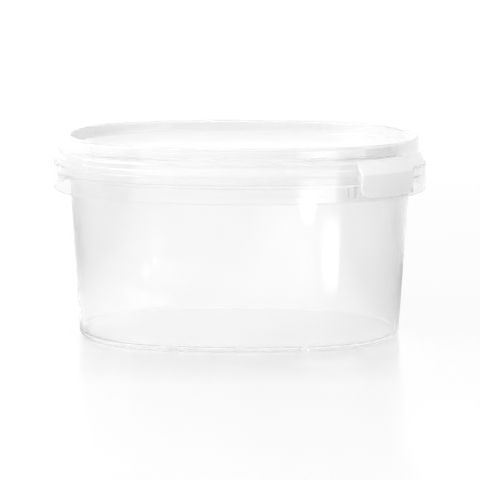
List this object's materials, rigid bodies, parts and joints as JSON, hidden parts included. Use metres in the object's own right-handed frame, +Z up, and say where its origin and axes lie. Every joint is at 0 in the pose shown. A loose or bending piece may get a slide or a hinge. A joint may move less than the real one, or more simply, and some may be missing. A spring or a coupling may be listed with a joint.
{
  "type": "tamper-evident food container",
  "caption": "Oval clear plastic food tub with a collar round its rim, closed by a clear press-on lid with a recessed panel and a pull tab that hangs over the collar.",
  "frame": {"origin": "middle of the foot that the tub stands on, at floor level", "axes": "+Z up through the lid, +X along the oval's long axis towards the end that carries the pull tab, -Y towards the long side next to the tab"},
  "size_m": [0.148, 0.102, 0.0802],
  "materials": {
    "tub_plastic": "clear polypropylene, glossy, thin walled",
    "lid_plastic": "clear polypropylene, glossy, with a frosted pull tab"
  },
  "bodies": {
    "root": {"tub": "tub_plastic", "lid": "lid_plastic"}
  },
  "joints": []
}
